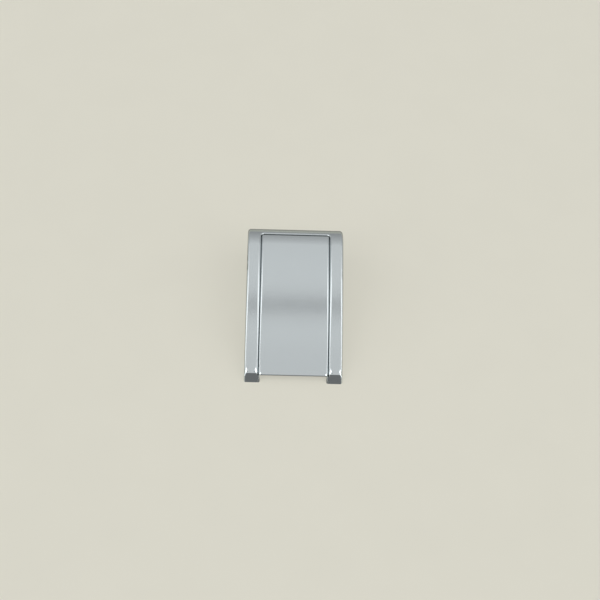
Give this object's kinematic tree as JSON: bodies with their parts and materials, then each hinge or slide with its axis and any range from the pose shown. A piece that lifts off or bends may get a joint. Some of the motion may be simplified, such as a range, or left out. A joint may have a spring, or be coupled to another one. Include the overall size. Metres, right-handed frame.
{
  "type": "furniture handle",
  "caption": "Small drawer or cabinet handle: satin frame shaped like an upturned U, open between its feet, with a flush thin panel and a top end that rolls over to a finger lip.",
  "frame": {"origin": "midway between the two screw holes, on the back plane that meets the furniture", "axes": "+X across the handle, +Y from the feet to the top end with its lip, +Z out of the furniture front"},
  "size_m": [0.0304, 0.0508, 0.017],
  "materials": {
    "satin_chrome_frame": "satin",
    "satin_chrome_panel": "satin"
  },
  "bodies": {
    "root": {"frame": "satin_chrome_frame", "insert_panel": "satin_chrome_panel"}
  },
  "joints": []
}
